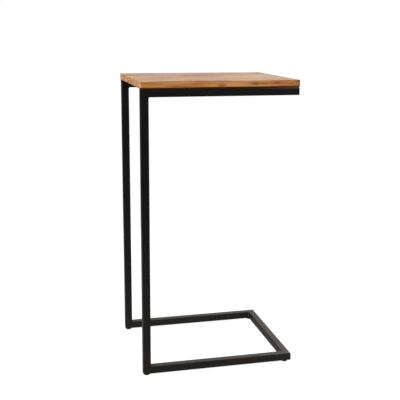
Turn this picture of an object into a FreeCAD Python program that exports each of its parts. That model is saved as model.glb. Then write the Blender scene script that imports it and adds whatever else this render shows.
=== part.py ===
import FreeCAD, Part
import math
import os
import Sketcher

# C shaped side table: a solid wood top on a welded frame of square tube. Seen from the front the frame is
# a C: two legs at the left, a top frame that reaches over a seat and a base that slides under it.
# X runs from the legs to the open end, Y from front to back and Z up. The origin is on the floor, under the
# middle of the table. All sizes are in millimetres.

SIZES = {
    # Whole table
    "table_length": 408,
    "table_depth": 340,
    "table_height": 760,
    # Wood top, glued up from boards
    "top_thickness": 18,
    "board_count": 4,
    "top_overhang": 1.5,
    "top_corner_radius": 4,
    "upper_edge_radius": 1,
    "lower_edge_radius": 3,
    # Square tube of the frame
    "tube_side": 20,
    "tube_wall": 1.5,
    "tube_corner_radius": 2,
    # Flat tabs inside the top frame, and the wood screws that they carry
    "tab_inset": 70,
    "tab_width": 30,
    "tab_reach": 24,
    "tab_thickness": 3,
    "tab_corner_radius": 4,
    "screw_setback": 12,
    "screw_diameter": 4,
    "screw_length": 16,
    "screw_point": 4,
    "screw_head_diameter": 8.4,
    "screw_head_height": 2.5,
    "screw_head_rounding": 1.6,
    "recess_width": 1.1,
    "recess_length": 4.6,
    "recess_depth": 1.4,
    "screw_hole_gap": 0.3,
    # Rivet nuts in the base, one over each foot, and how far in from the open end its feet stand
    "foot_inset": 15,
    "insert_flange_diameter": 13,
    "insert_flange_thickness": 0.8,
    "insert_body_diameter": 9,
    "insert_bulge_diameter": 11.5,
    "insert_bulge_height": 2.5,
    "insert_length": 12,
    # Levelling glides: a threaded stud with a disc head, in a round plastic pad
    "stud_diameter": 6,
    "stud_length": 15,
    "stud_chamfer": 0.8,
    "stud_head_diameter": 10,
    "stud_head_thickness": 1.2,
    "pad_diameter": 16,
    "pad_height": 3.2,
    "pad_floor": 1,
    "pad_rounding": 1,
    # Radial play of threads, drilled holes and the stud's head in its pad
    "running_gap": 0.05,
}

doc = FreeCAD.newDocument("CShapedSideTable")
sheet = doc.addObject("Spreadsheet::Sheet", "sizes")
for row, (name, value) in enumerate(SIZES.items(), start=1):
    sheet.set(f"A{row}", name)
    sheet.set(f"B{row}", str(value))
    sheet.setAlias(f"B{row}", name)
doc.recompute()

# Heights and places that several pieces share, as expressions on the sheet. The left and right of the frame
# are a small overhang in from the ends of the top. The left feet stand under the middle of the legs.
FOOT_HEIGHT = "(sizes.pad_height + sizes.insert_flange_thickness)"
FRAME_TOP = "(sizes.table_height - sizes.top_thickness)"
HALF_TUBE = "(sizes.tube_side / 2)"
LEFT = "(sizes.top_overhang - sizes.table_length / 2)"
RIGHT = "(sizes.table_length / 2 - sizes.top_overhang)"
FRONT = "(-sizes.table_depth / 2)"
BACK = "(sizes.table_depth / 2)"
FRONT_RAIL_Y = f"({FRONT} + {HALF_TUBE})"
BACK_RAIL_Y = f"({BACK} - {HALF_TUBE})"
BASE_RAIL_Z = f"({FOOT_HEIGHT} + {HALF_TUBE})"
TOP_RAIL_Z = f"({FRAME_TOP} - {HALF_TUBE})"
SCREW_X = f"({RIGHT} - sizes.tab_inset)"
SCREW_Y = f"({BACK} - sizes.tube_side - sizes.screw_setback)"
LEG_X = f"({LEFT} + {HALF_TUBE})"
FOOT_X = {-1: LEG_X, 1: f"({RIGHT} - sizes.foot_inset)"}

UP = FreeCAD.Vector(0, 0, 1)
TO_RIGHT = FreeCAD.Vector(1, 0, 0)
TO_BACK = FreeCAD.Vector(0, 1, 0)

# The four corners, each with its side along X and along Y
CORNERS = {
    "front_left": (-1, -1),
    "front_right": (1, -1),
    "back_left": (-1, 1),
    "back_right": (1, 1),
}


def number(expression):
    """The value of an expression on the sheet, in millimetres."""
    return float(sheet.evalExpression(expression))


# Sketches and features


def new_sketch(body, role):
    """An empty sketch on one of a body's own origin planes."""
    sketch = body.newObject("Sketcher::SketchObject", f"{body.Name}_sketch")
    plane = next(f for f in body.Origin.OriginFeatures if f.Role == role)
    sketch.AttachmentSupport = [(plane, "")]
    sketch.MapMode = "FlatFace"
    return sketch


def constrain(sketch, expression, kind, *where):
    """Adds one dimension to a sketch, bound to an expression on the sheet."""
    index = sketch.addConstraint(Sketcher.Constraint(kind, *where, number(expression)))
    sketch.setExpression(f"Constraints[{index}]", expression)


def add_polygon(sketch, corners):
    """A closed outline through corners, each a pair of expressions measured from the sketch's origin."""
    points = [FreeCAD.Vector(number(x), number(y), 0) for x, y in corners]
    first = sketch.GeometryCount
    lines = range(first, first + len(points))
    for start, end in zip(points, points[1:] + points[:1]):
        sketch.addGeometry(Part.LineSegment(start, end))
    for line in lines:
        following = line + 1 if line + 1 in lines else first
        sketch.addConstraint(Sketcher.Constraint("Coincident", line, 2, following, 1))
    for line, (x, y) in zip(lines, corners):
        constrain(sketch, x, "DistanceX", -1, 1, line, 1)
        constrain(sketch, y, "DistanceY", -1, 1, line, 1)


def add_circle(sketch, x, y, radius):
    """A circle, with its centre and radius given by expressions."""
    centre = FreeCAD.Vector(number(x), number(y), 0)
    circle = sketch.addGeometry(Part.Circle(centre, UP, number(radius)))
    constrain(sketch, x, "DistanceX", -1, 1, circle, 3)
    constrain(sketch, y, "DistanceY", -1, 1, circle, 3)
    constrain(sketch, radius, "Radius", circle)


def add_rounded_rectangle(sketch, width, depth, radius):
    """A rectangle with round corners, centred on the sketch's origin: four lines and the arcs between them."""
    half_width, half_depth, corner = number(width) / 2, number(depth) / 2, number(radius)
    first = sketch.GeometryCount
    for quarter in range(4):
        turn = FreeCAD.Rotation(UP, 90 * quarter)
        across, along = (half_width, half_depth) if quarter % 2 == 0 else (half_depth, half_width)
        start = turn.multVec(FreeCAD.Vector(-across + corner, -along, 0))
        end = turn.multVec(FreeCAD.Vector(across - corner, -along, 0))
        centre = turn.multVec(FreeCAD.Vector(across - corner, -along + corner, 0))
        angle = math.radians(90 * quarter - 90)
        sketch.addGeometry(Part.LineSegment(start, end))
        circle = Part.Circle(centre, UP, corner)
        sketch.addGeometry(Part.ArcOfCircle(circle, angle, angle + math.pi / 2))
    bottom, right, top, left = (first + 2 * quarter for quarter in range(4))
    for line in (bottom, right, top, left):
        following = line + 2 if line != left else bottom
        sketch.addConstraint(Sketcher.Constraint("Tangent", line, 2, line + 1, 1))
        sketch.addConstraint(Sketcher.Constraint("Tangent", line + 1, 2, following, 1))
    for line, kind in ((bottom, "Horizontal"), (top, "Horizontal"), (right, "Vertical"), (left, "Vertical")):
        sketch.addConstraint(Sketcher.Constraint(kind, line))
    for line in (right, top, left):
        sketch.addConstraint(Sketcher.Constraint("Equal", bottom + 1, line + 1))
    sketch.addConstraint(Sketcher.Constraint("Symmetric", bottom + 1, 3, top + 1, 3, -1, 1))
    constrain(sketch, radius, "Radius", bottom + 1)
    constrain(sketch, width, "DistanceX", left, 1, right, 1)
    constrain(sketch, depth, "DistanceY", bottom, 1, top, 1)


def pad(body, sketch, length):
    """Extrudes a sketch along its normal."""
    feature = body.newObject("PartDesign::Pad", f"{body.Name}_pad")
    feature.Profile = sketch
    feature.setExpression("Length", length)
    return feature


def revolve(body, corners):
    """Turns an outline of radii and heights round the body's Z axis."""
    sketch = new_sketch(body, "XZ_Plane")
    add_polygon(sketch, corners)
    feature = body.newObject("PartDesign::Revolution", f"{body.Name}_revolution")
    feature.Profile = sketch
    feature.ReferenceAxis = (sketch, ["V_Axis"])
    feature.Angle = 360
    return feature


def cut(body, sketch, depth=None):
    """Pockets a sketch along its normal to a depth or, with no depth, right through both ways."""
    feature = body.newObject("PartDesign::Pocket", f"{body.Name}_pocket")
    feature.Profile = sketch
    if depth:
        feature.Reversed = True
        feature.setExpression("Length", depth)
    else:
        feature.Type = "ThroughAll"
        feature.SideType = "Symmetric"
    doc.recompute()
    if feature.Shape.Volume >= feature.BaseFeature.Shape.Volume:
        raise RuntimeError(f"a pocket of {body.Label} cuts nothing")


def fillet(body, base, radius, chosen):
    """Rounds the edges of a feature for which chosen is true."""
    doc.recompute()
    names = [f"Edge{n}" for n, edge in enumerate(base.Shape.Edges, start=1) if chosen(edge)]
    feature = body.newObject("PartDesign::Fillet", f"{body.Name}_fillet")
    feature.Base = (base, names)
    feature.setExpression("Radius", radius)
    return feature


def at_height(edge, height):
    """Whether a whole edge lies in the plane at a height above the body's origin."""
    return abs(edge.BoundBox.ZMin - height) < 1e-6 and abs(edge.BoundBox.ZMax - height) < 1e-6


def place(thing, x, y, z, rotation=FreeCAD.Rotation()):
    """Turns a piece and ties its origin to three expressions."""
    thing.Placement = FreeCAD.Placement(FreeCAD.Vector(), rotation)
    for axis, expression in zip("xyz", (x, y, z)):
        thing.setExpression(f"Placement.Base.{axis}", expression)


def side_of(sign, expression):
    """An expression, or its opposite where sign is negative."""
    return expression if sign > 0 else f"(-{expression})"


def new_body(label):
    return doc.addObject("PartDesign::Body", label)


# Frame


def mitre(body, height, end_sign, role, side_sign):
    """Cuts an end of a tube at 45 degrees, so that its side towards side_sign on a plane is the short one.

    The saw's wedge is a right triangle that stands half a tube proud of the tube all round.
    """
    outer_x = side_of(-side_sign, "sizes.tube_side")
    inner_x = side_of(side_sign, "sizes.tube_side")
    past_end = f"({height}) + {end_sign} * sizes.tube_side / 2"
    inside_tube = f"({height}) - {end_sign} * 1.5 * sizes.tube_side"
    sketch = new_sketch(body, role)
    add_polygon(sketch, [(outer_x, past_end), (inner_x, inside_tube), (inner_x, past_end)])
    cut(body, sketch)


def mitred_tube(label, length, end_plane="XZ_Plane", end_side=1):
    """A square tube along its own Z, mitred at both ends.

    The start's mitre leaves the side towards X short. The end's does too, unless another side is given.
    """
    body = new_body(label)
    section = new_sketch(body, "XY_Plane")
    add_rounded_rectangle(section, "sizes.tube_side", "sizes.tube_side", "sizes.tube_corner_radius")
    bore = "sizes.tube_side - 2 * sizes.tube_wall"
    bore_radius = "max(sizes.tube_corner_radius - sizes.tube_wall; 0.2)"
    add_rounded_rectangle(section, bore, bore, bore_radius)
    pad(body, section, length)
    mitre(body, "0", -1, "XZ_Plane", 1)
    mitre(body, length, 1, end_plane, end_side)
    return body


def turned(along, short_side):
    """The rotation that lays a tube along one direction, with the short side of its first mitre to another."""
    return FreeCAD.Rotation(short_side, along.cross(short_side), along, "ZXY")


def make_leg(label, rail_y):
    leg = mitred_tube(label, f"{FRAME_TOP} - {FOOT_HEIGHT}")
    place(leg, LEG_X, rail_y, FOOT_HEIGHT, turned(UP, TO_RIGHT))
    return leg


def make_side_rail(label, rail_y, rail_z, short_side, end_side):
    """A rail from a leg to the open end, where its mitre turns towards the other rail."""
    rail = mitred_tube(label, f"{RIGHT} - {LEFT}", "YZ_Plane", end_side)
    place(rail, LEFT, rail_y, rail_z, turned(TO_RIGHT, short_side))
    return rail


def make_end_rail(label, rail_z):
    """The rail that closes the open end, from front to back."""
    rail = mitred_tube(label, "sizes.table_depth")
    place(rail, f"{RIGHT} - {HALF_TUBE}", FRONT, rail_z, turned(TO_BACK, -TO_RIGHT))
    return rail


def make_foot_drill():
    """The drill's four bites, up through the bottom of the base after its corners are welded.

    Each goes from one and a half walls under the tube's face to as far over it.
    """
    bites = []
    for corner, (x_side, y_side) in CORNERS.items():
        bite = doc.addObject("Part::Cylinder", f"{corner}_foot_drill")
        bite.setExpression("Radius", "sizes.insert_body_diameter / 2 + sizes.running_gap")
        bite.setExpression("Height", "3 * sizes.tube_wall")
        bottom = f"{FOOT_HEIGHT} - 1.5 * sizes.tube_wall"
        place(bite, FOOT_X[x_side], side_of(y_side, BACK_RAIL_Y), bottom)
        bites.append(bite)
    drill = doc.addObject("Part::Compound", "foot_drill")
    drill.Links = bites
    return drill


def drilled(label, tube, drill):
    """A base rail with the holes for the rivet nuts, which share the mitred corners of the open end."""
    rail = doc.addObject("Part::Cut", label)
    rail.Base = tube
    rail.Tool = drill
    return rail


def make_frame():
    drill = make_foot_drill()
    front_base = make_side_rail("front_base_tube", FRONT_RAIL_Y, BASE_RAIL_Z, UP, -1)
    back_base = make_side_rail("back_base_tube", BACK_RAIL_Y, BASE_RAIL_Z, UP, 1)
    return [
        make_leg("front_leg", FRONT_RAIL_Y),
        make_leg("back_leg", BACK_RAIL_Y),
        make_side_rail("front_top_rail", FRONT_RAIL_Y, TOP_RAIL_Z, -UP, 1),
        make_side_rail("back_top_rail", BACK_RAIL_Y, TOP_RAIL_Z, -UP, -1),
        make_end_rail("end_top_rail", TOP_RAIL_Z),
        drilled("front_base_rail", front_base, drill),
        drilled("back_base_rail", back_base, drill),
        drilled("end_base_rail", make_end_rail("end_base_tube", BASE_RAIL_Z), drill),
    ]


def make_tabs():
    """Flat tabs welded to the side rails, flush with the top of the frame."""
    tabs = []
    for corner, (x_side, y_side) in CORNERS.items():
        tab = new_body(f"{corner}_tab")
        outline = new_sketch(tab, "XY_Plane")
        half_width = "(sizes.tab_width / 2)"
        add_polygon(
            outline,
            [
                (f"-{half_width}", "0"),
                (half_width, "0"),
                (half_width, "sizes.tab_reach"),
                (f"-{half_width}", "sizes.tab_reach"),
            ],
        )
        add_circle(outline, "0", "sizes.screw_setback", "sizes.screw_diameter / 2 + sizes.screw_hole_gap")
        plate = pad(tab, outline, "sizes.tab_thickness")
        reach = number("sizes.tab_reach")
        fillet(
            tab,
            plate,
            "sizes.tab_corner_radius",
            lambda edge: edge.BoundBox.YMin > reach - 1e-6 and edge.BoundBox.XLength < 1e-6,
        )
        facing = FreeCAD.Rotation(UP, 180 if y_side > 0 else 0)
        inner_face = side_of(y_side, f"({BACK} - sizes.tube_side)")
        place(tab, side_of(x_side, SCREW_X), inner_face, f"{FRAME_TOP} - sizes.tab_thickness", facing)
        tabs.append(tab)
    return tabs


# Wood top


def make_panel():
    """The whole top as it is after gluing: its outline cut, its corners and edges rounded, its screws piloted.

    The lower edges turn under further than the upper ones are broken.
    """
    panel = new_body("top_panel")
    outline = new_sketch(panel, "XY_Plane")
    add_rounded_rectangle(outline, "sizes.table_length", "sizes.table_depth", "sizes.top_corner_radius")
    slab = pad(panel, outline, "sizes.top_thickness")
    thickness = number("sizes.top_thickness")
    upper = fillet(panel, slab, "sizes.upper_edge_radius", lambda edge: at_height(edge, thickness))
    fillet(panel, upper, "sizes.lower_edge_radius", lambda edge: at_height(edge, 0))
    pilots = new_sketch(panel, "XY_Plane")
    for x_side, y_side in CORNERS.values():
        radius = "sizes.screw_diameter / 2 + sizes.running_gap"
        add_circle(pilots, side_of(x_side, SCREW_X), side_of(y_side, SCREW_Y), radius)
    cut(panel, pilots, "sizes.screw_length - sizes.tab_thickness + sizes.running_gap")
    place(panel, "0", "0", FRAME_TOP)
    return panel


def make_boards():
    """The panel's boards, side by side from front to back: its share of the depth for each.

    Each is what a strip has in common with the panel. The strips stand proud of it above, below and at the ends.
    """
    panel = make_panel()
    boards = []
    for index in range(round(number("sizes.board_count"))):
        strip = doc.addObject("Part::Box", f"board_strip_{index + 1}")
        strip.setExpression("Length", "2 * sizes.table_length")
        strip.setExpression("Width", "sizes.table_depth / sizes.board_count")
        strip.setExpression("Height", "3 * sizes.top_thickness")
        front_edge = f"{FRONT} + {index} * sizes.table_depth / sizes.board_count"
        place(strip, "-sizes.table_length", front_edge, f"{FRAME_TOP} - sizes.top_thickness")
        board = doc.addObject("Part::Common", f"top_board_{index + 1}")
        board.Base = panel
        board.Tool = strip
        boards.append(board)
    return boards


def make_screws():
    """Pan head wood screws with a cross recess, up through the tabs into the top."""
    head_radius = "(sizes.screw_head_diameter / 2)"
    thread_radius = "(sizes.screw_diameter / 2)"
    tip = "(sizes.screw_head_height + sizes.screw_length)"
    arm = "(sizes.recess_length / 2)"
    rib = "(sizes.recess_width / 2)"
    quarter = [(arm, side_of(-1, rib)), (arm, rib), (rib, rib)]
    cross = []
    for _ in range(4):
        cross += quarter
        quarter = [(side_of(-1, y), x) for x, y in quarter]
    screws = []
    for corner, (x_side, y_side) in CORNERS.items():
        screw = new_body(f"{corner}_screw")
        turned_blank = revolve(
            screw,
            [
                ("0", "0"),
                (head_radius, "0"),
                (head_radius, "sizes.screw_head_height"),
                (thread_radius, "sizes.screw_head_height"),
                (thread_radius, f"{tip} - sizes.screw_point"),
                ("0", tip),
            ],
        )
        fillet(
            screw,
            turned_blank,
            "sizes.screw_head_rounding",
            lambda edge: at_height(edge, 0) and edge.Closed,
        )
        recess = new_sketch(screw, "XY_Plane")
        add_polygon(recess, cross)
        cut(screw, recess, "sizes.recess_depth")
        under_tab = f"{FRAME_TOP} - sizes.tab_thickness - sizes.screw_head_height"
        place(screw, side_of(x_side, SCREW_X), side_of(y_side, SCREW_Y), under_tab)
        screws.append(screw)
    group = doc.addObject("Part::Compound", "top_screws")
    group.Links = screws
    return group


# Feet


def make_inserts():
    """Rivet nuts: a flange under the tube, a bulge set over its wall, and a bore for the stud."""
    bore_radius = "(sizes.stud_diameter / 2 + sizes.running_gap)"
    flange_radius = "(sizes.insert_flange_diameter / 2)"
    body_radius = "(sizes.insert_body_diameter / 2)"
    bulge_radius = "(sizes.insert_bulge_diameter / 2)"
    wall_top = "(sizes.insert_flange_thickness + sizes.tube_wall)"
    inserts = []
    for corner, (x_side, y_side) in CORNERS.items():
        insert = new_body(f"{corner}_insert")
        revolve(
            insert,
            [
                (bore_radius, "0"),
                (flange_radius, "0"),
                (flange_radius, "sizes.insert_flange_thickness"),
                (body_radius, "sizes.insert_flange_thickness"),
                (body_radius, wall_top),
                (bulge_radius, wall_top),
                (bulge_radius, f"{wall_top} + sizes.insert_bulge_height / 2"),
                (body_radius, f"{wall_top} + sizes.insert_bulge_height"),
                (body_radius, "sizes.insert_length"),
                (bore_radius, "sizes.insert_length"),
            ],
        )
        place(insert, FOOT_X[x_side], side_of(y_side, BACK_RAIL_Y), "sizes.pad_height")
        inserts.append(insert)
    group = doc.addObject("Part::Compound", "foot_inserts")
    group.Links = inserts
    return group


def make_pad(corner, x_side, y_side):
    """A round plastic pad, hollow for the stud's head, with a lip that snaps over it."""
    outer_radius = "(sizes.pad_diameter / 2)"
    pocket_radius = "(sizes.stud_head_diameter / 2 + sizes.running_gap)"
    mouth_radius = "(sizes.stud_diameter / 2 + sizes.running_gap)"
    pocket_top = "(sizes.pad_floor + sizes.stud_head_thickness + 2 * sizes.running_gap)"
    glide_pad = new_body(f"{corner}_glide_pad")
    puck = revolve(
        glide_pad,
        [
            ("0", "0"),
            (outer_radius, "0"),
            (outer_radius, "sizes.pad_height"),
            (mouth_radius, "sizes.pad_height"),
            (mouth_radius, pocket_top),
            (pocket_radius, pocket_top),
            (pocket_radius, "sizes.pad_floor"),
            ("0", "sizes.pad_floor"),
        ],
    )
    fillet(glide_pad, puck, "sizes.pad_rounding", lambda edge: at_height(edge, 0) and edge.Closed)
    place(glide_pad, FOOT_X[x_side], side_of(y_side, BACK_RAIL_Y), "0")
    return glide_pad


def make_stud(corner, x_side, y_side):
    """A threaded stud, a plain cylinder here, that stands on its disc head inside the pad."""
    head_radius = "(sizes.stud_head_diameter / 2)"
    thread_radius = "(sizes.stud_diameter / 2)"
    stud = new_body(f"{corner}_glide_stud")
    revolve(
        stud,
        [
            ("0", "0"),
            (head_radius, "0"),
            (head_radius, "sizes.stud_head_thickness"),
            (thread_radius, "sizes.stud_head_thickness"),
            (thread_radius, "sizes.stud_length - sizes.stud_chamfer"),
            (f"{thread_radius} - sizes.stud_chamfer", "sizes.stud_length"),
            ("0", "sizes.stud_length"),
        ],
    )
    in_pad = "sizes.pad_floor + sizes.running_gap"
    place(stud, FOOT_X[x_side], side_of(y_side, BACK_RAIL_Y), in_pad)
    return stud


pieces = make_boards() + make_frame() + make_tabs() + [make_screws(), make_inserts()]
for corner, (x_side, y_side) in CORNERS.items():
    pieces.append(make_pad(corner, x_side, y_side))
    pieces.append(make_stud(corner, x_side, y_side))
doc.recompute()

for thing in doc.Objects:
    if "Invalid" in thing.State or "Error" in thing.State:
        raise RuntimeError(f"{thing.Label} failed: {thing.State}")
for piece in pieces:
    if piece.Shape.isNull() or not piece.Shape.isValid():
        raise RuntimeError(f"{piece.Label} has no valid shape")

os.makedirs("parts", exist_ok=True)
for piece in pieces:
    piece.Shape.exportStep(f"parts/{piece.Label}.step")
    print(piece.Label, len(piece.Shape.Solids), round(piece.Shape.Volume, 1))
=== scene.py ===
"""Finishes and fine parts of a C shaped side table: a solid wood top on a welded frame of square tube."""

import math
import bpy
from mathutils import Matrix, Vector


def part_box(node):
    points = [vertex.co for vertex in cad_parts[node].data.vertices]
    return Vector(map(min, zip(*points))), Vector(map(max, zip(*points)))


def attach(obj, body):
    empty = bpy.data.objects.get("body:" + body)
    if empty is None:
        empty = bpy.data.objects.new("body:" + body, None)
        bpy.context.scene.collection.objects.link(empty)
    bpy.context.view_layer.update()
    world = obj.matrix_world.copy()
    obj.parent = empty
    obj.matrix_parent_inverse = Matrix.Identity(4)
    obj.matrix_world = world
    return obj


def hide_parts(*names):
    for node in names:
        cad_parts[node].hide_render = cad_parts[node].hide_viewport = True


bl_info = {
    "name": "C Shaped Side Table",
    "version": (1, 0, 0),
    "blender": (4, 5, 0),
    "location": "3D View > Sidebar > Side Table",
    "description": "Dresses the frame of a side table with its finishes, welds, threads, glides and stage",
    "category": "Object",
}

import bpy
import numpy as np
from bpy.props import FloatProperty, FloatVectorProperty, IntProperty, PointerProperty
from mathutils import Quaternion, Vector

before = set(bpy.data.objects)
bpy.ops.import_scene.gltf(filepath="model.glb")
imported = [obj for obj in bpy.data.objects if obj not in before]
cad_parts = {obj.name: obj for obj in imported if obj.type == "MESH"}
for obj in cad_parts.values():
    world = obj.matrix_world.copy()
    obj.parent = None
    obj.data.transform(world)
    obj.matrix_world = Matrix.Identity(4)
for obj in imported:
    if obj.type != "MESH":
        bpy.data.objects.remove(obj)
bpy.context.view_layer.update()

MM = 0.001
TURN = 2 * math.pi

BOARDS = sorted(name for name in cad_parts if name.startswith("top_board"))
CORNERS = [
    f"{depth}_{side}" for depth in ("front", "back") for side in ("left", "right")
]
TABLE = "table"
PLAY = 0.05  # Radial play of a thread in its hole, in millimetres
THREAD_SHARE = 0.61  # Depth of a metric thread, as a share of its pitch


# Colours and nodes


def linear(hex_colour):
    """A colour written as six sRGB hex digits, as linear red, green and blue."""
    channels = np.array([int(hex_colour[i : i + 2], 16) for i in (0, 2, 4)]) / 255
    low = channels / 12.92
    high = ((channels + 0.055) / 1.055) ** 2.4
    return tuple(np.where(channels <= 0.04045, low, high).tolist())


def per(*millimetres):
    """The scale of a texture whose features are that many millimetres across, along each axis."""
    scales = [1000 / size for size in millimetres]
    return scales[0] if len(scales) == 1 else scales


def add_node(tree, kind, inputs=(), stops=(), **settings):
    """Adds a node with its settings, the stops of its ramp, and its inputs by name or in order.

    An input is a value, or a socket to link, or a node, which stands for its first output.
    """
    node = tree.nodes.new(kind)
    for name, value in settings.items():
        setattr(node, name, value)
    for index, (position, colour) in enumerate(stops):
        elements = node.color_ramp.elements
        element = elements[index] if index < 2 else elements.new(position)
        element.position = position
        element.color = (*colour, 1)
    shown = [socket for socket in node.inputs if socket.enabled]
    places = {socket.name: place for place, socket in reversed(list(enumerate(shown)))}
    given = inputs.items() if isinstance(inputs, dict) else enumerate(inputs)
    for key, value in given:
        socket = shown[places.get(key, key)]
        if isinstance(value, bpy.types.Node):
            value = next(output for output in value.outputs if output.enabled)
        if isinstance(value, bpy.types.NodeSocket):
            tree.links.new(value, socket)
        else:
            socket.default_value = value
    return node


def new_material(name):
    """A node material with an empty tree, and that tree."""
    material = bpy.data.materials.new(name)
    material.use_nodes = True
    material.node_tree.nodes.clear()
    return material, material.node_tree


def finish(make, *settings):
    """The material that has the name of its maker function, made when its first piece asks for it."""
    return bpy.data.materials.get(make.__name__) or make(*settings)


# Oiled mango wood


def mango_flare(tree, place, flare, ragged):
    """How far a branch or a pin knot pushes the bands round it aside, and how much it darkens them.

    Both are bells, exp(-d^2), where d is the distance from its centre as a share of its radii. The bell
    that pushes is 1.9 times as wide, and the fibres make the rim of the dark one ragged. Some flares are
    painted shade instead, on a corner that turns away from the light.
    """
    centre, radii, strength = flare
    off_centre = add_node(tree, "ShaderNodeVectorMath", [place, centre], operation="SUBTRACT")
    bells = []
    for widening, raggedness in ((1.9, 0), (1, 1.4)):
        radii_here = tuple(radius * widening for radius in radii)
        spread = add_node(tree, "ShaderNodeVectorMath", [off_centre, radii_here], operation="DIVIDE")
        distance = add_node(tree, "ShaderNodeVectorMath", [spread], operation="LENGTH").outputs["Value"]
        uneven = add_node(tree, "ShaderNodeMath", [ragged, raggedness, distance], operation="MULTIPLY_ADD")
        square = add_node(tree, "ShaderNodeMath", [uneven, uneven], operation="MULTIPLY")
        minus = add_node(tree, "ShaderNodeMath", [square, -1], operation="MULTIPLY")
        bells.append(add_node(tree, "ShaderNodeMath", [minus], operation="EXPONENT"))
    push, stain_and_shade = bells
    return push, add_node(tree, "ShaderNodeMath", [stain_and_shade, strength], operation="MULTIPLY")


def squarely_facing(tree, part_of_normal):
    """How squarely a surface faces along an axis either way, from 0 to 1, from that part of its normal."""
    size = add_node(tree, "ShaderNodeMath", [part_of_normal], operation="ABSOLUTE")
    return add_node(tree, "ShaderNodeMapRange", [size, 0.35, 0.9, 0, 1], interpolation_type="SMOOTHSTEP")


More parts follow.
